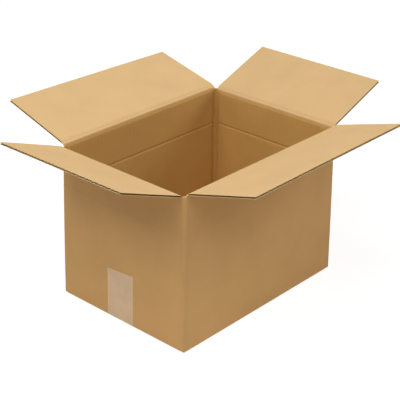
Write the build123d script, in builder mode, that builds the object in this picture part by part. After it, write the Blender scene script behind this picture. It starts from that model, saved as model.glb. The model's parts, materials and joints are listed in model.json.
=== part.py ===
from build123d import *
import math
import os

# An open shipping box, folded from one sheet of corrugated board. X runs along the long walls,
# Y across the box and Z up. The origin is on the floor under the middle of the box.

# The space inside the four walls, and the board
inside_length = 320.0
inside_width = 230.0
board = 3.0

# Fold line of the two long top flaps, above the floor
long_fold_height = 236.0

# How far the open top flaps stand up from level, in degrees
long_flap_angle = 17.0
end_flap_angle = 20.0

# Slots between the flaps: their width, and how far they are cut past the bend of a fold
slot_width = 8.0
slot_run = 0.5

# Clearances: at each fold of the top flaps, between the layers of the bottom, between the layers
# of the top when it is closed, and where two long flaps meet in the middle
fold_gap = 0.15
layer_gap = 0.15
closing_gap = 0.3
seam_gap = 1.0

# Bends of the sheet: the outer corners of the walls, and the outer edges of the folds
corner_radius = 3.5
fold_bend = 1.5

# Creases pressed from the inside: a crushed band on both sides of each upright corner, and a
# small notch along the folds of the bottom
crush_depth = 1.0
crush_width = 7.0
crush_ramp = 4.0
crease_notch = 1.2

# Spare fold line pressed round the inside, where the box can be cut down to a lower height
score_height = 176.0
score_width = 5.0
score_depth = 0.9

# Glue tab of the back wall, stuck inside the left wall, and the seam beside it on the outside
tab_width = 35.0
tab_short = 10.0
tab_taper = 6.0
tab_seam = 0.8

# The fluting inside the board, which shows at the cut edges
liner = 0.4
medium = 0.35
flute_pitch = 6.5
flute_land = 1.6
flute_crest = 0.9
flute_depth = 12.0
side_groove = 1.0

# Packing tape under the bottom seam and up both end walls
tape_width = 50.0
tape_thickness = 0.1
tape_rise = 75.0

# Sizes that follow
outer_length = inside_length + 2 * board
outer_width = inside_width + 2 * board
flap_length = (outer_width - seam_gap) / 2
long_flap_width = outer_length - slot_width
end_flap_width = outer_width - slot_width
slot_side = slot_width / 2
end_fold_height = long_fold_height - board - closing_gap
lower_layer = tape_thickness
upper_layer = lower_layer + board + layer_gap
tab_low = upper_layer + board + tab_short
tab_high = end_fold_height - board - tab_short
up = Vector(0, 0, 1)


def past_long_flaps(height):
    """Outline at one height of all that lies beyond the sides of the long flaps."""
    with BuildSketch(Plane.XY.offset(height)) as outline:
        Rectangle(outer_length, outer_width)
        Rectangle(long_flap_width, outer_width, mode=Mode.SUBTRACT)
    return outline.sketch


def slot_ends(height):
    """Outline at one height of the slots between the flaps, at the four corners."""
    with BuildSketch(Plane.XY.offset(height)) as outline:
        with GridLocations(outer_length - slot_side, outer_width - slot_side, 2, 2):
            Rectangle(slot_side, slot_side)
    return outline.sketch


def wall_pair(plane, wall_face, height, profile):
    """A profile at two facing walls, from points (out from the wall's inner face, up)."""
    with BuildSketch(plane) as outline:
        Polygon(*[(wall_face + out, height + rise) for out, rise in profile], align=None)
        mirror(about=Plane.YZ)
    return outline.sketch


def flute_ends(edge_plane, width):
    """The flutes at a cut edge: two rows of hollows, one against each liner."""
    wide = flute_pitch - flute_land
    count = int((width - 2 * side_groove) / flute_pitch)
    with BuildSketch(edge_plane) as outline:
        with GridLocations(flute_pitch, 0, count, 1):
            Polygon(
                (-wide / 2, board - liner),
                (-flute_crest / 2, liner + medium),
                (flute_crest / 2, liner + medium),
                (wide / 2, board - liner),
                align=None,
            )
        with GridLocations(flute_pitch, 0, count - 1, 1):
            Polygon(
                (-wide / 2, liner),
                (wide / 2, liner),
                (flute_crest / 2, board - liner - medium),
                (-flute_crest / 2, board - liner - medium),
                align=None,
            )
    return outline.sketch


# The carton: four walls, the glue tab and the four closed bottom flaps, all one sheet
with BuildPart() as carton:
    # Walls, with rounded corners outside and crushed corners inside
    with BuildSketch(Plane.XY.offset(lower_layer)):
        RectangleRounded(outer_length, outer_width, corner_radius)
    extrude(amount=long_fold_height - lower_layer)
    with BuildSketch(Plane.XY.offset(lower_layer)):
        Polygon(
            (inside_length / 2, inside_width / 2 - crush_width - crush_ramp),
            (inside_length / 2 + crush_depth, inside_width / 2 - crush_width),
            (inside_length / 2 + crush_depth, inside_width / 2 + crush_depth),
            (inside_length / 2 - crush_width, inside_width / 2 + crush_depth),
            (inside_length / 2 - crush_width - crush_ramp, inside_width / 2),
            align=None,
        )
        mirror(about=Plane.XZ)
        mirror(about=Plane.YZ)
        Rectangle(inside_length, inside_width)
    extrude(amount=long_fold_height - lower_layer, mode=Mode.SUBTRACT)

    # The end walls stop one layer short of the long ones, so that the end flaps fold in first
    extrude(past_long_flaps(end_fold_height), amount=board + closing_gap, mode=Mode.SUBTRACT)
    extrude(past_long_flaps(lower_layer), amount=board + layer_gap, mode=Mode.SUBTRACT)
    past_fold = fold_bend + slot_run
    extrude(slot_ends(end_fold_height - past_fold), amount=past_fold, mode=Mode.SUBTRACT)
    extrude(slot_ends(upper_layer), amount=past_fold, mode=Mode.SUBTRACT)

    # Bevels along the wall tops, sloping in from the outer liner, where the top flaps fold
    bevel = [(0, -board), (0, 0), (board, 0)]
    long_bevels = wall_pair(Plane.YZ, inside_width / 2, long_fold_height, bevel)
    end_bevels = wall_pair(Plane.XZ, inside_length / 2, end_fold_height, bevel)
    extrude(long_bevels, amount=outer_length / 2, both=True, mode=Mode.SUBTRACT)
    extrude(end_bevels, amount=end_flap_width / 2, both=True, mode=Mode.SUBTRACT)

    # Spare fold line round the inside
    groove = [(0, -score_width / 2), (score_depth, 0), (0, score_width / 2)]
    long_grooves = wall_pair(Plane.YZ, inside_width / 2, score_height, groove)
    end_grooves = wall_pair(Plane.XZ, inside_length / 2, score_height, groove)
    extrude(long_grooves, amount=inside_length / 2, both=True, mode=Mode.SUBTRACT)
    extrude(end_grooves, amount=inside_width / 2, both=True, mode=Mode.SUBTRACT)

    # Bottom flaps: the long ones below, the end ones on top of them
    with BuildSketch(Plane.XY.offset(lower_layer)):
        with GridLocations(0, flap_length + seam_gap, 1, 2):
            Rectangle(long_flap_width, flap_length)
    extrude(amount=board)
    with BuildSketch(Plane.XY.offset(upper_layer)):
        with GridLocations(outer_length - flap_length, 0, 2, 1):
            Rectangle(flap_length, end_flap_width)
    extrude(amount=board)

    # Bends along the four outer bottom edges
    long_bends = carton.edges().filter_by(Axis.X).group_by(Axis.Z)[0].sort_by(Axis.Y)
    fillet([long_bends[0], long_bends[-1]], radius=fold_bend)
    end_bends = carton.edges().filter_by(Axis.Y).filter_by_position(
        Axis.Z, upper_layer - fold_gap, upper_layer + fold_gap
    )
    end_bends = end_bends.sort_by(Axis.X)
    fillet([end_bends[0], end_bends[-1]], radius=fold_bend)

    # Notches pressed into the inside of the bottom folds
    with BuildSketch(Plane.YZ):
        with GridLocations(inside_width, 0, 2, 1):
            with Locations((0, lower_layer + board)):
                Rectangle(crease_notch, crease_notch, rotation=45)
    extrude(amount=long_flap_width / 2, both=True, mode=Mode.SUBTRACT)
    with BuildSketch(Plane.XZ):
        with GridLocations(inside_length, 0, 2, 1):
            with Locations((0, upper_layer + board)):
                Rectangle(crease_notch, crease_notch, rotation=45)
    extrude(amount=end_flap_width / 2, both=True, mode=Mode.SUBTRACT)

    # Flutes at the free edges of the end flaps, which lie on top in the bottom
    for side in (-1, 1):
        free_edge = Plane(
            origin=(side * (outer_length / 2 - flap_length), 0, upper_layer),
            x_dir=(0, side, 0),
            z_dir=(side, 0, 0),
        )
        extrude(flute_ends(free_edge, end_flap_width), amount=flute_depth, mode=Mode.SUBTRACT)

    # Glue tab on the inside of the left wall, with its ends tapered
    with BuildSketch(Plane.YZ.offset(-inside_length / 2 - crush_depth)):
        Polygon(
            (inside_width / 2 + crush_depth, tab_low),
            (inside_width / 2 + crush_depth, tab_high),
            (inside_width / 2 - tab_width, tab_high - tab_taper),
            (inside_width / 2 - tab_width, tab_low + tab_taper),
            align=None,
        )
    extrude(amount=crush_depth + board)

    # Seam on the outside, where the cut edge of the left wall meets the folded tab
    with BuildSketch(Plane.XY.offset(lower_layer)):
        with Locations((-(outer_length - board + crush_depth) / 2, (inside_width - tab_seam) / 2)):
            Rectangle(board - crush_depth, tab_seam)
    extrude(amount=long_fold_height - lower_layer, mode=Mode.SUBTRACT)

# The four open top flaps: which way each leans out, how far out and how high its fold lies,
# its angle above level and its width
top_flaps = {
    "front_flap": (Vector(0, -1, 0), outer_width / 2, long_fold_height, long_flap_angle, long_flap_width),
    "back_flap": (Vector(0, 1, 0), outer_width / 2, long_fold_height, long_flap_angle, long_flap_width),
    "left_flap": (Vector(-1, 0, 0), outer_length / 2, end_fold_height, end_flap_angle, end_flap_width),
    "right_flap": (Vector(1, 0, 0), outer_length / 2, end_fold_height, end_flap_angle, end_flap_width),
}


def make_flap(outward, reach, height, angle, width):
    """A flap beyond its fold line, with a bevelled foot and the flutes open at its free edge."""
    lean = math.radians(angle)
    along = outward * math.cos(lean) + up * math.sin(lean)
    inner_side = up * math.cos(lean) - outward * math.sin(lean)
    fold_line = along.cross(inner_side)
    fold = outward * reach + up * height
    side_plane = Plane(origin=fold, x_dir=along, z_dir=fold_line)
    edge_plane = Plane(origin=fold + along * flap_length, x_dir=fold_line, z_dir=along * -1)
    with BuildPart() as flap:
        with BuildSketch(side_plane):
            Polygon(
                (fold_gap, 0),
                (flap_length, 0),
                (flap_length, board),
                (fold_gap + board, board),
                align=None,
            )
        extrude(amount=width / 2, both=True)
        extrude(flute_ends(edge_plane, width), amount=flute_depth, mode=Mode.SUBTRACT)
        # A groove between the liners along both side cuts, which run along the flutes
        with BuildSketch(edge_plane):
            with GridLocations(width - side_groove, 0, 2, 1):
                with Locations((0, board / 2)):
                    Rectangle(side_groove, board - 2 * liner)
        extrude(amount=flap_length - 2 * board, mode=Mode.SUBTRACT)
    return flap


# Packing tape: one strip under the bottom seam, round both bottom edges and up the end walls
with BuildPart() as packing_tape:
    with BuildSketch(Plane.XZ):
        with BuildLine():
            face = outer_length / 2
            back = face + tape_thickness
            FilletPolyline(
                (-back, tape_rise),
                (-back, 0),
                (back, 0),
                (back, tape_rise),
                radius=slot_side + tape_thickness,
            )
            FilletPolyline(
                (-face, tape_rise),
                (-face, tape_thickness),
                (face, tape_thickness),
                (face, tape_rise),
                radius=slot_side,
            )
            Line((-back, tape_rise), (-face, tape_rise))
            Line((back, tape_rise), (face, tape_rise))
        make_face()
    extrude(amount=tape_width / 2, both=True)

carton.part.label = "carton"
packing_tape.part.label = "packing_tape"

os.makedirs("parts", exist_ok=True)
export_step(carton.part, "parts/carton.step")
export_step(packing_tape.part, "parts/packing_tape.step")
for name, place in top_flaps.items():
    flap = make_flap(*place)
    flap.part.label = name
    export_step(flap.part, f"parts/{name}.step")
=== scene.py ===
# An open shipping box of single-wall corrugated board, dressed around its measured frame. The
# walls are one sheet that is scored flat and then folded round four corners, as the real one is.
# Flat places on the board are (across, along, through): across the flutes, along the flutes, and
# through the board from its outer face. Lengths are in metres, and angles in degrees.

import json
import math

import bmesh
import bpy
from mathutils import Matrix, Vector, noise


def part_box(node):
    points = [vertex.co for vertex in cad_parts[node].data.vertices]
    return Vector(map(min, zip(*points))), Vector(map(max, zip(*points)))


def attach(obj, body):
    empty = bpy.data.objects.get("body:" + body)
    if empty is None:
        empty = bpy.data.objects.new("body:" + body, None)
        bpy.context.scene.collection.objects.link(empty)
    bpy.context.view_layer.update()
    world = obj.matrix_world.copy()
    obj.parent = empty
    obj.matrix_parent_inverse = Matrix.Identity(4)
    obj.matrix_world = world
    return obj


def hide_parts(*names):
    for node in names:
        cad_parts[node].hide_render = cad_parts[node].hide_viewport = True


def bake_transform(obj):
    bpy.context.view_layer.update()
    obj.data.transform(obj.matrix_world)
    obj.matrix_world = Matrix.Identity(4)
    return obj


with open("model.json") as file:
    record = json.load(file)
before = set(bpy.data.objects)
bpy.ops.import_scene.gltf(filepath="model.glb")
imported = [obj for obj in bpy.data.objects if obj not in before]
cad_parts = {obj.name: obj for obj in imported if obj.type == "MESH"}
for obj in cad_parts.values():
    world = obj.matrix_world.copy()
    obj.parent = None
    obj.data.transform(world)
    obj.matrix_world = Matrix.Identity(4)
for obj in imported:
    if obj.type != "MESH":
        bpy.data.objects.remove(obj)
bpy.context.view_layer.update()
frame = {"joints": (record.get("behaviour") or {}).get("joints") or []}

mm = 0.001
up = Vector((0, 0, 1))

# The board: its caliper, its two paper liners and the fluted paper between them
board = 3.0 * mm
liner = 0.4 * mm
fluting = 0.42 * mm
flute_pitch = 6.5 * mm
flute_steps = 10
flute_recess = 1.5 * mm

# How far the fluted paper ends inside the free edge, give or take a little from place to place,
# and the band at that edge where it shows its cut side
flute_inset = 0.15 * mm
flute_waver = 0.1 * mm
flute_waver_size = 9 * mm
flute_waver_seed = 3.5
free_edge_band = 1.0 * mm

# The box, from the frame, with the gaps between the closed flaps
carton_low, carton_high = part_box("carton")
half_length = (carton_high.x - carton_low.x) / 2
half_width = (carton_high.y - carton_low.y) / 2
hinges = {joint["child"]: joint for joint in frame["joints"]}
long_fold = hinges["front_flap_body"]["pos_m"][2]
end_fold = hinges["left_flap_body"]["pos_m"][2]
lower_layer = carton_low.z
layer_gap = 0.15 * mm
upper_layer = lower_layer + board + layer_gap
front_low, front_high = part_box("front_flap")
left_low, left_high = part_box("left_flap")
half_long_flap = (front_high.x - front_low.x) / 2
half_end_flap = (left_high.y - left_low.y) / 2
seam_half_gap = 0.5 * mm
flap_length = half_width - seam_half_gap

# Outer radius of the upright corners, at the floor and at the rim, and of the bottom folds
corner_radius = 3.0 * mm
rim_radius = 7.5 * mm
fold_bend = 1.5 * mm

# Where the corners stop at the slots, above the floor
slot_foot = 0.8 * mm
slot_head = 234.0 * mm

# The walls lean in a little towards the rim, and nothing is quite flat
wall_lean = 2.5 * mm
wall_bow = 0.5 * mm
flap_bow = 0.15 * mm
bow_size = 110 * mm
wall_bow_seed = 1.5
corner_hold = 60 * mm

# Pressed creases, as pairs of (distance from the crease, depth) in millimetres: at an upright
# corner, at a fold of a top flap, at a fold of a bottom flap, and at the spare fold line round
# the walls. They show a little on the outside too
corner_crush = [(0, 1.1), (7.0, 1.1), (9.2, 0.0), (10.5, -0.12), (14.0, 0.0)]
rim_crush = [(1.3, 1.7), (5.6, 0.0), (6.5, 0.3), (7.8, 0.0)]
bottom_crush = [(0.0, 1.4), (2.2, 0.0)]
spare_crush = [(0.0, 0.9), (2.5, 0.0)]
crease_shows = 0.12
rim_depth = rim_crush[0][1]
crushed_board = board - rim_depth * mm
spare_height = 176 * mm

# Where vertex rows and columns stand near a crease, in millimetres from it: beside an upright
# corner, below a fold of the rim, round the spare fold line, and along a flap from its fold
corner_columns = (2.9, 4.2, 5, 6, 7, 8, 9.2, 10.5, 12, 14, 18)
rim_rows = (1.3, 2.4, 3.5, 4.6, 5.6, 6.1, 6.5, 7.1, 7.8, 9.0)
spare_rows = (-6, -3.5, -2.5, -1.3, 0, 1.3, 2.5, 3.5, 6)
fold_rows = (0, 1.1, 2.2, 3.3, 4.3, 4.8, 5.2, 5.8, 6.5, 8)
fold_reach = 10 * mm

# Spacing of the vertices elsewhere, turn of each step round a bend, and lengths taken as nothing
wall_step = 8 * mm
panel_step = 9 * mm
tab_step = 12 * mm
tape_step_across = 5 * mm
tape_step_upright = 6 * mm
tape_step_bend = 0.3 * mm
tape_step_under = 20 * mm
corner_steps = 8
fold_step = math.radians(12)
bottom_bend_step = math.radians(15)
smallest_step = 0.05 * mm
row_slack = 0.1 * mm
plane_slack = 0.01 * mm

# Seam where the left wall is glued to the tab, and the tab inside it
seam = 114.6 * mm
seam_gap = 0.8 * mm
tab_width = 35 * mm
tab_low = 16.25 * mm
tab_high = 219.7 * mm
tab_taper = 6 * mm

# Packing tape
tape_low, tape_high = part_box("packing_tape")
tape_film = 0.1 * mm
tape_aside = 2.5 * mm

# How much higher than the modelled tape its slanting ends are, at the near and the far edge
tape_cut_near = 5.5 * mm
tape_cut_far = 1.8 * mm

# How each top flap lies beside its modelled angle, and how it twists from one side to the other.
# Closed, a long flap then lies on the end flaps or stands up from them, and none goes through one
flap_ease = {
    "front_flap": (-0.35, -0.25),
    "back_flap": (-1.7, -1.4),
    "left_flap": (0.85, -0.45),
    "right_flap": (0.35, 0.0),
}

# Paper colours: outside; inside the walls, the flaps' inner liner painted darker and deeper as
# painted shade inside the box; on the inner face of the flaps; the fluted paper; and the raw cut
# edge of a liner
outer_color = (0.660, 0.386, 0.148)
painted_shade_wall_color = (0.610, 0.359, 0.110)
flap_color = (0.775, 0.518, 0.246)
# Fluted paper, also on the liners' backs: a darker paper of its own, painted darker still as painted
# shade in the hollow between the liners
fluting_and_shade_color = (0.380, 0.235, 0.095)
cut_color = (0.880, 0.620, 0.330)
# Packing film: the board's colour as seen through it, lightened by a painted reflection
film_color_with_reflection = (0.656, 0.447, 0.244)
smooth_angle = 35

# Places of the papers in each piece's list of materials
outer_face, inner_face, fluted_and_shade, cut_edge = range(4)

# Paper: its shine, the sizes of its patterns as noise scales, their shares in its tone, and relief
paper_roughness = 0.85
paper_gloss = 0.25
raw_gloss = 0.0
mottle_scale = 22.0
patch_scale = 14.0
speck_scale = 1500.0
fibre_scale = (420, 1300, 1)
speck_range = (0.30, 0.36, 0.80, 1.0)
plain_tone = 0.85
mottle_share = 0.16
fibre_share = 0.14
# Darker where the board is pressed: crushed paper, with painted shade in the crease
crease_shade_share = -0.03
flute_relief = 0.012
fibre_relief = 0.05
paper_bump = 0.6

# Painted shade of the ripple over the flutes, as its share in the tone: outside, inside the
# walls, and on the flaps
outer_flute_shade = 0.012
wall_flute_shade = 0.03
flap_flute_shade = 0.02
no_flute_shade = 0.0

# Detail of the noise in the patterns
mottle_detail = 5.0
patch_detail = 2.0
fibre_detail = 4.0
speck_detail = 2.0
haze_detail = 3.0
film_detail = 2.0

# Packing film: its shine, its lighter edge, and its haze and drawn lines as noise scales and tones
film_roughness = 0.38
film_gloss = 0.8
film_edge = 3 * mm
film_edge_tone = 0.12
haze_scale = 45.0
haze_range = (0.35, 0.65, -0.05, 0.05)
line_scale = (900, 12, 1)
line_range = (0.3, 0.7, -0.02, 0.02)
film_ripple_scale = 60.0
film_bump = 0.15

# The camera, at the photograph's angle: metres, degrees, and pixels of focal length
camera_place = Vector((-1.1376, -1.0141, 0.8827))
camera_azimuth = -48.23
camera_elevation = 26.19
camera_roll = 0.87
camera_focus = 1157.0
photo_width = 400
sensor = 36.0

# Soft lamps: place, size and power, all aimed at the middle of the box
lamps = {
    "left_lamp": ((-1.8, 0.1, 2.9), 2.0, 55),
    "front_lamp": ((-1.5, -1.5, 2.7), 1.6, 19),
    "right_lamp": ((0.1, -2.4, 2.6), 2.0, 17),
    "far_right_lamp": ((3.0, -1.2, 2.0), 1.6, 56),
    "far_left_lamp": ((-1.2, 3.0, 2.0), 1.6, 28),
}
lamp_aim = Vector((0, 0, 0.1))

# Floor and world: what the camera sees of the floor, its own light for the camera, what it
# sends back to the object, and the light from all round
floor_radius = 6.0
floor_sides = 96
floor_white = 0.35
floor_lift = 0.80
floor_bounce = 0.80
sky_light = 0.02


def depth_at(profile, distance):
    """Depth of a pressed crease at a distance from its line."""
    nearest, depth = profile[0]
    if distance <= nearest * mm:
        return depth * mm
    for far, far_depth in profile[1:]:
        if distance < far * mm:
            share = (distance - nearest * mm) / ((far - nearest) * mm)
            return (depth + (far_depth - depth) * share) * mm
        nearest, depth = far, far_depth
    return 0.0


def wave(across, along, size, seed):
    """A smooth random number from -1 to 1 that changes over a given size."""
    return noise.noise(Vector((across / size, along / size, seed)))


def spread(start, end, step):
    """Places from start to end, both included, about one step apart."""
    count = max(1, round(abs(end - start) / step))
    return [start + (end - start) * i / count for i in range(count + 1)]


def merged(*lists):
    """All places in order, without those that fall on another."""
    places = sorted(place for places in lists for place in places)
    kept = [places[0]]
    for place in places[1:]:
        if place - kept[-1] > smallest_step:
            kept.append(place)
    return kept


def filled(places, step):
    """The places, with more between those that are further apart than a step."""
    return merged(*(spread(start, end, step) for start, end in zip(places, places[1:])))


# Flat shapes of board, and how they are folded

def add_sheet(shape, columns, rows, height):
    """A flat sheet with a vertex wherever a column and a row cross."""
    across = len(columns) - 1
    along = len(rows) - 1
    made = bmesh.ops.create_grid(shape, x_segments=across, y_segments=along, size=0.5)
    for vert in made["verts"]:
        column = round((vert.co.x + 0.5) * across)
        row = round((vert.co.y + 0.5) * along)
        vert.co = (columns[column], rows[row], height)


def extrude_copy(shape, faces, move):
    """Extrudes faces by a distance, and keeps them as the other end."""
    made = bmesh.ops.extrude_face_region(shape, geom=faces, use_keep_orig=True)
    moved = [item for item in made["geom"] if isinstance(item, bmesh.types.BMVert)]
    bmesh.ops.translate(shape, vec=move, verts=moved)


def paint_by_height(faces, low, high, paints):
    """Material of a flat layer's lower, upper and upright faces."""
    middle = (low + high) / 2
    for face in faces:
        heights = [vert.co.z for vert in face.verts]
        if max(heights) < middle:
            face.material_index = paints[0]
        elif min(heights) > middle:
            face.material_index = paints[1]
        else:
            face.material_index = paints[2]


def add_layer(shape, columns, rows, low, high, paints):
    """A closed flat layer between two heights, with its three materials."""
    first = len(shape.faces)
    add_sheet(shape, columns, rows, low)
    shape.faces.ensure_lookup_table()
    extrude_copy(shape, shape.faces[first:], (0, 0, high - low))
    shape.faces.ensure_lookup_table()
    paint_by_height(shape.faces[first:], low, high, paints)


def add_fluting(shape, half, rows):
    """The fluted paper between the liners, a little inside their edges, in whole flutes."""
    first = len(shape.faces)
    end = half - flute_recess
    pitch = 2 * end / round(2 * end / flute_pitch)
    columns = spread(-end, end, pitch / flute_steps)
    add_sheet(shape, columns, rows, 0)
    shape.faces.ensure_lookup_table()
    sheet = shape.faces[first:]
    crest = (board - fluting) / 2 - liner
    for vert in {vert for face in sheet for vert in face.verts}:
        vert.co.z = board / 2 - crest * math.cos(2 * math.pi * (vert.co.x + end) / pitch)
        if vert.co.y > rows[-1] - row_slack:
            waver = wave(vert.co.x, 0, flute_waver_size, flute_waver_seed)
            vert.co.y -= flute_inset + flute_waver * waver
    bmesh.ops.solidify(shape, geom=sheet, thickness=fluting)
    shape.faces.ensure_lookup_table()
    for face in shape.faces[first:]:
        at_free_edge = min(vert.co.y for vert in face.verts) > rows[-1] - free_edge_band
        face.material_index = cut_edge if at_free_edge else fluted_and_shade


def panel_shape(half, rows):
    """Both liners and the fluted paper of a flat panel."""
    shape = bmesh.new()
    columns = spread(-half, half, panel_step)
    # The liners' backs in the hollow take the fluted paper, with its painted shade
    add_layer(shape, columns, rows, 0, liner, (outer_face, fluted_and_shade, cut_edge))
    add_layer(shape, columns, rows, board - liner, board, (fluted_and_shade, inner_face, cut_edge))
    add_fluting(shape, half, rows)
    return shape


def bar_shape(section, half):
    """A solid bar along a fold, from its section as pairs of (outward, up)."""
    shape = bmesh.new()
    ring = [shape.verts.new((-half, out, height)) for out, height in section]
    end_face = shape.faces.new(ring)
    extrude_copy(shape, [end_face], (2 * half, 0, 0))
    return shape


def squeeze(through, depth):
    """Height in the board where its inside is pressed flat by a depth, with whole liners."""
    hollow = board - 2 * liner
    if through <= liner:
        return through
    if through >= board - liner:
        return through - depth
    return liner + (through - liner) * (1 - depth / hollow)


def finish_piece(name, shape, place, materials, body=None):
    """Keeps the flat places as a map, folds the shape, and makes the piece."""
    flat_map = shape.loops.layers.uv.new("sheet")
    crease = shape.verts.layers.float.new("crease")
    for face in shape.faces:
        for loop in face.loops:
            loop[flat_map].uv = loop.vert.co.xy
    for vert in shape.verts:
        vert.co, depth = place(*vert.co)
        vert[crease] = depth / mm
    bmesh.ops.recalc_face_normals(shape, faces=shape.faces)
    for face in shape.faces:
        face.smooth = True
    mesh = bpy.data.meshes.new(name)
    shape.to_mesh(mesh)
    shape.free()
    mesh.set_sharp_from_angle(angle=math.radians(smooth_angle))
    for material in materials:
        mesh.materials.append(material)
    piece = bpy.data.objects.new(name, mesh)
    bpy.context.scene.collection.objects.link(piece)
    if body:
        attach(piece, body)
    return piece


# Materials

class MaterialNodes:
    """Short ways to add and join the nodes of one material."""

    def __init__(self, name, roughness, specular):
        self.material = bpy.data.materials.new(name)
        self.material.use_nodes = True
        self.nodes = self.material.node_tree.nodes
        self.links = self.material.node_tree.links
        self.shader = self.nodes["Principled BSDF"]
        self.shader.inputs["Roughness"].default_value = roughness
        self.shader.inputs["Specular IOR Level"].default_value = specular

    def add(self, kind, inputs=(), **values):
        """A node, with its sockets set or joined by their place or name."""
        node = self.nodes.new(kind)
        for key, value in values.items():
            setattr(node, key, value)
        for key, value in inputs:
            if isinstance(value, bpy.types.NodeSocket):
                self.links.new(value, node.inputs[key])
            else:
                node.inputs[key].default_value = value
        return node.outputs

    def math(self, operation, *values):
        return self.add("ShaderNodeMath", enumerate(values), operation=operation)[0]

    def noise(self, vector, scale, detail):
        settings = (("Vector", vector), ("Scale", scale), ("Detail", detail))
        return self.add("ShaderNodeTexNoise", settings)["Fac"]

    def stretched(self, vector, scale):
        return self.add("ShaderNodeMapping", (("Vector", vector), ("Scale", scale)))[0]

    def remap(self, value, low, high, new_low, new_high):
        ends = (("Value", value), (1, low), (2, high), (3, new_low), (4, new_high))
        return self.add("ShaderNodeMapRange", ends)[0]

    def sum_of(self, *values):
        total = values[0]
        for value in values[1:]:
            total = self.math("ADD", total, value)
        return total

    def tinted(self, color, tone):
        """The colour multiplied by a tone, on the shader."""
        ends = ((0, 1.0), (6, (*color, 1)), (7, tone))
        mixed = self.add("ShaderNodeMix", ends, data_type="RGBA", blend_type="MULTIPLY")[2]
        self.links.new(mixed, self.shader.inputs["Base Color"])

    def bumped(self, height, strength):
        ends = (("Height", height), ("Strength", strength), ("Distance", mm))
        normal = self.add("ShaderNodeBump", ends)[0]
        self.links.new(normal, self.shader.inputs["Normal"])


def paper(name, color, flute_shade_share, gloss=paper_gloss):
    """Brown paper: mottled, with fibres and specks, painted shade of the ripple over the flutes, and
    darker creases (crushed paper and painted shade).
    """
    made = MaterialNodes(name, paper_roughness, gloss)
    place = made.add("ShaderNodeTexCoord")["Object"]
    sheet = made.add("ShaderNodeUVMap", uv_map="sheet")["UV"]
    across = made.add("ShaderNodeSeparateXYZ", ((0, sheet),))[0]
    crease = made.add("ShaderNodeAttribute", attribute_name="crease")["Fac"]
    mottle = made.noise(place, mottle_scale, mottle_detail)
    patches = made.noise(place, patch_scale, patch_detail)
    fibre = made.noise(made.stretched(sheet, fibre_scale), 1.0, fibre_detail)
    specks = made.remap(made.noise(place, speck_scale, speck_detail), *speck_range)
    flutes = made.math("SINE", made.math("MULTIPLY", across, 2 * math.pi / flute_pitch))
    # Painted shade of the ripple over the flutes, in patches
    painted_flute_shade = made.math("MULTIPLY", flutes, patches)

    tone = made.sum_of(
        plain_tone,
        made.math("MULTIPLY", mottle, mottle_share),
        made.math("MULTIPLY", fibre, fibre_share),
        made.math("MULTIPLY", painted_flute_shade, flute_shade_share),
        # Darker in pressed creases: crushed paper and painted shade
        made.math("MULTIPLY", crease, crease_shade_share),
    )
    made.tinted(color, made.math("MULTIPLY", tone, specks))
    relief = made.sum_of(
        made.math("MULTIPLY", flutes, flute_relief),
        made.math("MULTIPLY", fibre, fibre_relief),
    )
    made.bumped(relief, paper_bump)
    return made.material


def film():
    """Packing film over the board, drawn opaque in the board's colour lightened by a painted
    reflection: hazy in patches, and a little glossy.
    """
    made = MaterialNodes("tape_film", film_roughness, film_gloss)
    sheet = made.add("ShaderNodeUVMap", uv_map="sheet")["UV"]
    place = made.add("ShaderNodeTexCoord")["Object"]
    across = made.math("ABSOLUTE", made.add("ShaderNodeSeparateXYZ", ((0, sheet),))[0])
    half = (tape_high.y - tape_low.y) / 2
    edge = made.remap(across, half - film_edge, half, 0.0, film_edge_tone)
    haze = made.remap(made.noise(place, haze_scale, haze_detail), *haze_range)
    drawn = made.noise(made.stretched(sheet, line_scale), 1.0, film_detail)
    lines = made.remap(drawn, *line_range)
    made.tinted(film_color_with_reflection, made.sum_of(1.0, edge, haze, lines))
    made.bumped(made.noise(place, film_ripple_scale, film_detail), film_bump)
    return made.material


outer_paper = paper("outer_paper", outer_color, outer_flute_shade)
# Inside the walls: painted shade, as a darker and deeper copy of the flaps' inner paper
painted_shade_wall_paper = paper("painted_shade_wall_paper", painted_shade_wall_color, wall_flute_shade)
flap_paper = paper("flap_paper", flap_color, flap_flute_shade)
# Fluted paper, with painted shade in the hollow between the liners
fluting_and_shade_paper = paper("fluting_and_shade_paper", fluting_and_shade_color, no_flute_shade, raw_gloss)
cut_paper = paper("cut_paper", cut_color, no_flute_shade, raw_gloss)
wall_papers = (outer_paper, painted_shade_wall_paper, fluting_and_shade_paper, cut_paper)
flap_papers = (outer_paper, flap_paper, fluting_and_shade_paper, cut_paper)


# The walls

def seam_legs():
    """Straight stretches round the outside of the walls, from the seam back to the seam."""
    along = 2 * (half_length - corner_radius)
    beside = 2 * (half_width - corner_radius)
    to_corner = half_width - corner_radius - seam - seam_gap / 2
    to_seam = half_width - corner_radius + seam - seam_gap / 2
    return [to_corner, along, beside, along, to_seam]


legs = seam_legs()
bend_run = corner_radius * math.pi / 2


def round_walls(distance):
    """Point and outward direction at a distance round the walls, clockwise from the seam."""
    heading = Vector((0, 1, 0))
    outward = Vector((-1, 0, 0))
    point = Vector((-half_length, seam + seam_gap / 2, 0))
    for leg in legs[:-1]:
        if distance <= leg:
            return point + heading * distance, outward
        distance -= leg
        centre = point + heading * leg - outward * corner_radius
        if distance <= bend_run:
            angle = distance / corner_radius
            turned = outward * math.cos(angle) + heading * math.sin(angle)
            return centre + turned * corner_radius, turned
        distance -= bend_run
        outward, heading = heading, -outward
        point = centre + outward * corner_radius
    return point + heading * distance, outward


def corner_places():
    """Distance round the walls of the middle of each upright corner."""
    places = []
    run = 0.0
    for leg in legs[:-1]:
        run += leg
        places.append(run + bend_run / 2)
        run += bend_run
    return places


corners = corner_places()
around = sum(legs) + 4 * bend_run
slot_reach = bend_run / 2 + half_length - half_long_flap - corner_radius


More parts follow.
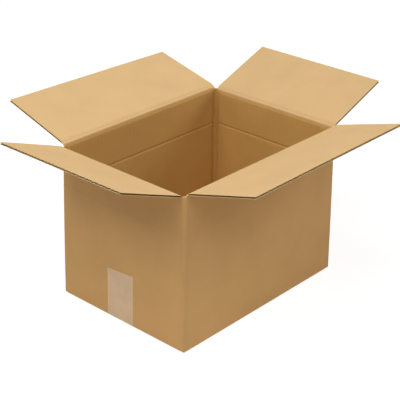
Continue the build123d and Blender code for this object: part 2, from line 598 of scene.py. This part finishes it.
def wall_columns():
    """Vertex columns, close together at the corners."""
    near = [slot_reach] + [step * mm for step in corner_columns]
    columns = [0.0, around]
    for middle in corners:
        columns += spread(middle - bend_run / 2, middle + bend_run / 2, bend_run / corner_steps)
        columns += [middle + step for step in near]
        columns += [middle - step for step in near if middle - step > 0]
    return filled(merged(columns), wall_step)


def wall_rows():
    """Vertex rows, close together at the folds and at the spare fold line."""
    rows = [slot_foot, lower_layer + fold_bend, slot_head]
    for fold in (long_fold, end_fold):
        rows += [fold - step * mm for step in rim_rows]
    rows += [spare_height + step * mm for step in spare_rows]
    return filled(merged(rows), panel_step)


def faces_long_side(outward):
    """Whether a direction points out of a long wall, and not an end wall."""
    return abs(outward.y) > 0.5


def wall_zone(distance):
    """The wall at a distance round the box: long, end, or a corner between two slots."""
    if min(abs(distance - middle) for middle in corners) < slot_reach:
        return "corner"
    outward = round_walls(distance)[1]
    return "long" if faces_long_side(outward) else "end"


wall_limits = {
    "corner": (slot_foot, slot_head),
    "long": (lower_layer + fold_bend, long_fold - crushed_board),
    "end": (lower_layer + fold_bend, end_fold - crushed_board),
}


def lean_at(height):
    """How far outside its modelled plane a wall is at a height."""
    return wall_lean * (1 - height / long_fold)


def soften(point, outward, height):
    """Moves a point of the outside near an upright corner to the rounder bend near the rim."""
    share = min(1, height / long_fold)
    radius = corner_radius + (rim_radius - corner_radius) * share ** 2
    centre = Vector((
        math.copysign(half_length - radius, point.x),
        math.copysign(half_width - radius, point.y),
        0,
    ))
    if abs(point.x) <= abs(centre.x) or abs(point.y) <= abs(centre.y):
        return point, outward
    outward = (point - centre).normalized()
    return centre + outward * radius, outward


def place_on_wall(distance, height, through):
    """Folds a flat place of the walls round the box, and says how far it is pressed."""
    point, outward = round_walls(distance)
    on_long_wall = faces_long_side(outward)
    point, outward = soften(point, outward, height)
    beside = min(abs(distance - middle) for middle in corners)
    fold = long_fold if on_long_wall else end_fold
    depth = depth_at(corner_crush, beside)
    depth = max(depth, depth_at(rim_crush, fold - height), key=abs)
    depth = max(depth, depth_at(spare_crush, abs(height - spare_height)), key=abs)
    fade = min(1, beside / corner_hold) * math.sin(math.pi * min(1, height / fold))
    bow = wall_bow * fade * wave(distance, height, bow_size, wall_bow_seed)
    sunk = through - depth * through / board + crease_shows * depth
    lean = lean_at(height)
    shift = Vector((lean * point.x / half_length, lean * point.y / half_width, 0))
    return point + shift + outward * (bow - sunk) + up * height, depth


def build_walls():
    shape = bmesh.new()
    add_sheet(shape, wall_columns(), wall_rows(), 0)
    waste = []
    for face in shape.faces:
        centre = face.calc_center_median()
        low, high = wall_limits[wall_zone(centre.x)]
        if not low < centre.y < high:
            waste.append(face)
    bmesh.ops.delete(shape, geom=waste, context="FACES")
    extrude_copy(shape, shape.faces[:], (0, 0, board))
    paint_by_height(shape.faces, 0, board, (outer_face, inner_face, cut_edge))
    walls = finish_piece("carton_walls", shape, place_on_wall, wall_papers, "carton_body")
    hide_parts("carton")


# The top flaps

def flap_rows(start, end):
    """Vertex rows of a flap, close together at its fold."""
    near = [start + step * mm for step in fold_rows]
    return merged(near, spread(start + fold_reach, end, panel_step))


def build_top_flap(name):
    body = name + "_body"
    hinge = Vector(hinges[body]["pos_m"])
    outward = Vector((hinge.x, hinge.y, 0)).normalized()
    low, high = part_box(name)
    reach = max((corner - hinge).dot(outward) for corner in (low, high))
    level = math.acos(reach / flap_length)
    half = half_long_flap if faces_long_side(outward) else half_end_flap
    side = outward.cross(up)
    ease, twist = flap_ease[name]

    def place(across, along, through):
        lean = level + math.radians(ease + twist * across / half)
        out = outward * math.cos(lean) + up * math.sin(lean)
        inner = up * math.cos(lean) - outward * math.sin(lean)
        depth = depth_at(rim_crush, along)
        bow = flap_bow * wave(across, along, bow_size, hinge.x + hinge.y) * along / flap_length
        return hinge + side * across + out * along + inner * (squeeze(through, depth) + bow), depth

    shape = panel_shape(half, flap_rows(crushed_board, flap_length))
    piece = finish_piece(name + "_board", shape, place, flap_papers, body)
    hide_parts(name)
    build_fold(name, hinge, outward, half, level)


def build_fold(name, hinge, outward, half, lean):
    """The creased board between a wall's top and a flap, bent round to the flap's modelled angle."""
    side = outward.cross(up)
    turns = spread(math.pi, math.pi / 2 + lean, fold_step)
    start = (0, -crushed_board)
    end = (crushed_board * math.cos(lean), crushed_board * math.sin(lean))
    section = [(0, 0), start, (-crushed_board, -crushed_board)]
    section += [(crushed_board * math.cos(turn), crushed_board * math.sin(turn)) for turn in turns]
    section += [(end[0] - end[1], end[1] + end[0]), end]

    def place(across, out, height):
        return hinge + side * across + outward * out + up * height, 0

    shape = bar_shape(section, half)
    for face in shape.faces:
        below = [vert.co.z <= vert.co.y * math.tan(lean) + plane_slack for vert in face.verts]
        faces_out = len(face.verts) == 4 and all(below)
        face.material_index = outer_face if faces_out else inner_face
    piece = finish_piece(name + "_fold", shape, place, flap_papers)
    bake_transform(piece)


# The bottom flaps, with the folds that join them to the walls, and the glue tab

def build_bottom_flap(name, outward, half_run, half, floor):
    """A bottom flap, closed under the box."""
    side = outward.cross(up)
    edge = outward * (half_run + wall_lean) + up * floor

    def place(across, along, through):
        depth = depth_at(bottom_crush, along - board)
        return edge - outward * along + side * across + up * squeeze(through, depth), depth

    rows = flap_rows(board, flap_length)
    piece = finish_piece(name, panel_shape(half, rows), place, wall_papers, "carton_body")
    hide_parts("carton")


def build_bottom_bend(name, outward, half_run, half):
    """The round outer edge where a wall turns under the box."""
    side = outward.cross(up)
    edge = outward * (half_run + wall_lean) + up * lower_layer
    turns = spread(0, math.pi / 2, bottom_bend_step)
    section = [(fold_bend * (math.cos(turn) - 1), fold_bend * (1 - math.sin(turn))) for turn in turns]
    section += [(-board, 0), (-board, fold_bend)]

    def place(across, out, height):
        return edge + side * across + outward * out + up * height, 0

    piece = finish_piece(name, bar_shape(section, half), place, wall_papers, "carton_body")
    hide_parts("carton")


def build_tab():
    """The glue tab inside the left wall, with its flutes upright and its ends tapered."""
    inside = half_width - board
    tab_height = tab_high - tab_low

    def place(across, along, through):
        from_corner = tab_width / 2 - across
        taper = tab_taper * from_corner / tab_width
        height = tab_low + taper + along / tab_height * (tab_height - 2 * taper)
        depth = max(0, depth_at(corner_crush, from_corner + board))
        lean = lean_at(height)
        inward = board + squeeze(through, depth) - depth - half_length - lean
        return Vector((inward, inside - from_corner + lean, height)), depth

    shape = panel_shape(tab_width / 2, spread(0, tab_height, tab_step))
    piece = finish_piece("carton_glue_tab", shape, place, wall_papers, "carton_body")
    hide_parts("carton")


def build_tape():
    """One strip of tape under the bottom seam, round the bottom folds and up both end walls."""
    bend_x = half_length + wall_lean - fold_bend
    bend_z = lower_layer + fold_bend
    upright = tape_high.z - bend_z
    to_flat = upright + fold_bend * math.pi / 2
    total = 2 * (to_flat + bend_x)
    half = (tape_high.y - tape_low.y) / 2
    mean_lift = (tape_cut_near + tape_cut_far) / 2
    skew = (tape_cut_far - tape_cut_near) / 2

    def place(across, along, through):
        side = -1 if along < total / 2 else 1
        run = along if side < 0 else total - along
        if run < upright:
            lift = mean_lift + skew * across / half
            height = tape_high.z - run + lift * (1 - run / upright)
            out = half_length + lean_at(height) + through
        elif run < to_flat:
            angle = (run - upright) / fold_bend
            out = bend_x + (fold_bend + through) * math.cos(angle)
            height = bend_z - (fold_bend + through) * math.sin(angle)
        else:
            out = total / 2 - run
            height = lower_layer - through
        return Vector((side * out, across + tape_aside, height)), 0

    shape = bmesh.new()
    columns = spread(-half, half, tape_step_across)
    half_rows = merged(
        spread(0, upright, tape_step_upright),
        spread(upright, to_flat, tape_step_bend),
        spread(to_flat, total / 2, tape_step_under),
    )
    rows = merged(half_rows, [total - row for row in half_rows])
    add_layer(shape, columns, rows, 0, tape_film, (0, 0, 0))
    piece = finish_piece("tape_strip", shape, place, [film()], "carton_body")
    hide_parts("packing_tape")


# Floor, lamps, world and camera

def add_seen_share(nodes, links):
    """One for rays that the camera sees, straight, in gloss or through film."""
    paths = nodes.new("ShaderNodeLightPath")
    share = paths.outputs["Is Camera Ray"]
    for kind in ("Is Glossy Ray", "Is Transmission Ray"):
        larger = nodes.new("ShaderNodeMath")
        larger.operation = "MAXIMUM"
        links.new(share, larger.inputs[0])
        links.new(paths.outputs[kind], larger.inputs[1])
        share = larger.outputs[0]
    return share


def mix_by_ray(tree, hidden, seen, output):
    """Sends one shader to the output for the rays that the camera sees, and another for the rest."""
    mix = tree.nodes.new("ShaderNodeMixShader")
    out = tree.nodes.new(output)
    tree.links.new(add_seen_share(tree.nodes, tree.links), mix.inputs[0])
    tree.links.new(hidden.outputs[0], mix.inputs[1])
    tree.links.new(seen.outputs[0], mix.inputs[2])
    tree.links.new(mix.outputs[0], out.inputs["Surface"])


def add_shader(tree, kind, white, strength=None):
    """A white shader, with a strength where it gives light of its own."""
    shader = tree.nodes.new(kind)
    shader.inputs["Color"].default_value = (white, white, white, 1)
    if strength is not None:
        shader.inputs["Strength"].default_value = strength
    return shader


def build_floor():
    shape = bmesh.new()
    bmesh.ops.create_circle(shape, cap_ends=True, segments=floor_sides, radius=floor_radius)
    mesh = bpy.data.meshes.new("floor")
    shape.to_mesh(mesh)
    shape.free()
    floor = bpy.data.objects.new("floor", mesh)
    bpy.context.scene.collection.objects.link(floor)
    material = bpy.data.materials.new("pale_floor")
    material.use_nodes = True
    tree = material.node_tree
    tree.nodes.clear()
    bounce = add_shader(tree, "ShaderNodeBsdfDiffuse", floor_bounce)
    seen = tree.nodes.new("ShaderNodeAddShader")
    tree.links.new(add_shader(tree, "ShaderNodeBsdfDiffuse", floor_white).outputs[0], seen.inputs[0])
    tree.links.new(add_shader(tree, "ShaderNodeEmission", 1.0, floor_lift).outputs[0], seen.inputs[1])
    mix_by_ray(tree, bounce, seen, "ShaderNodeOutputMaterial")
    mesh.materials.append(material)


def build_world():
    world = bpy.data.worlds.new("studio")
    bpy.context.scene.world = world
    world.use_nodes = True
    tree = world.node_tree
    tree.nodes.clear()
    sky = add_shader(tree, "ShaderNodeBackground", 1.0, sky_light)
    white = add_shader(tree, "ShaderNodeBackground", 1.0, 1.0)
    mix_by_ray(tree, sky, white, "ShaderNodeOutputWorld")


def add_lamp(name, place, size, power):
    light = bpy.data.lights.new(name, "AREA")
    light.shape = "SQUARE"
    light.size = size
    light.energy = power
    lamp = bpy.data.objects.new(name, light)
    bpy.context.scene.collection.objects.link(lamp)
    lamp.location = place
    lamp.rotation_euler = (lamp_aim - lamp.location).to_track_quat("-Z", "Y").to_euler()


def build_camera():
    turn = math.radians(camera_azimuth)
    tilt = math.radians(camera_elevation)
    roll = math.radians(camera_roll)
    back = Vector((math.sin(turn) * math.cos(tilt), -math.cos(turn) * math.cos(tilt), math.sin(tilt)))
    right = up.cross(back).normalized()
    above = back.cross(right)
    rolled_right = right * math.cos(roll) + above * math.sin(roll)
    rolled_above = above * math.cos(roll) - right * math.sin(roll)
    data = bpy.data.cameras.new("camera")
    data.sensor_width = sensor
    data.lens = sensor * camera_focus / photo_width
    camera = bpy.data.objects.new("camera", data)
    bpy.context.scene.collection.objects.link(camera)
    turned = Matrix((rolled_right, rolled_above, back)).transposed()
    camera.matrix_world = Matrix.Translation(camera_place) @ turned.to_4x4()
    bpy.context.scene.camera = camera


build_walls()
for flap in flap_ease:
    build_top_flap(flap)
for name, outward in (("front", Vector((0, -1, 0))), ("back", Vector((0, 1, 0)))):
    build_bottom_flap(f"carton_{name}_bottom", outward, half_width, half_long_flap, lower_layer)
    build_bottom_bend(f"carton_{name}_bend", outward, half_width, half_long_flap)
for name, outward in (("left", Vector((-1, 0, 0))), ("right", Vector((1, 0, 0)))):
    build_bottom_flap(f"carton_{name}_bottom", outward, half_length, half_end_flap, upper_layer)
    build_bottom_bend(f"carton_{name}_bend", outward, half_length, half_end_flap)
build_tab()
build_tape()

build_floor()
build_world()
for name, settings in lamps.items():
    add_lamp(name, *settings)
build_camera()
bpy.context.scene.view_settings.view_transform = "Standard"

bpy.context.view_layer.update()
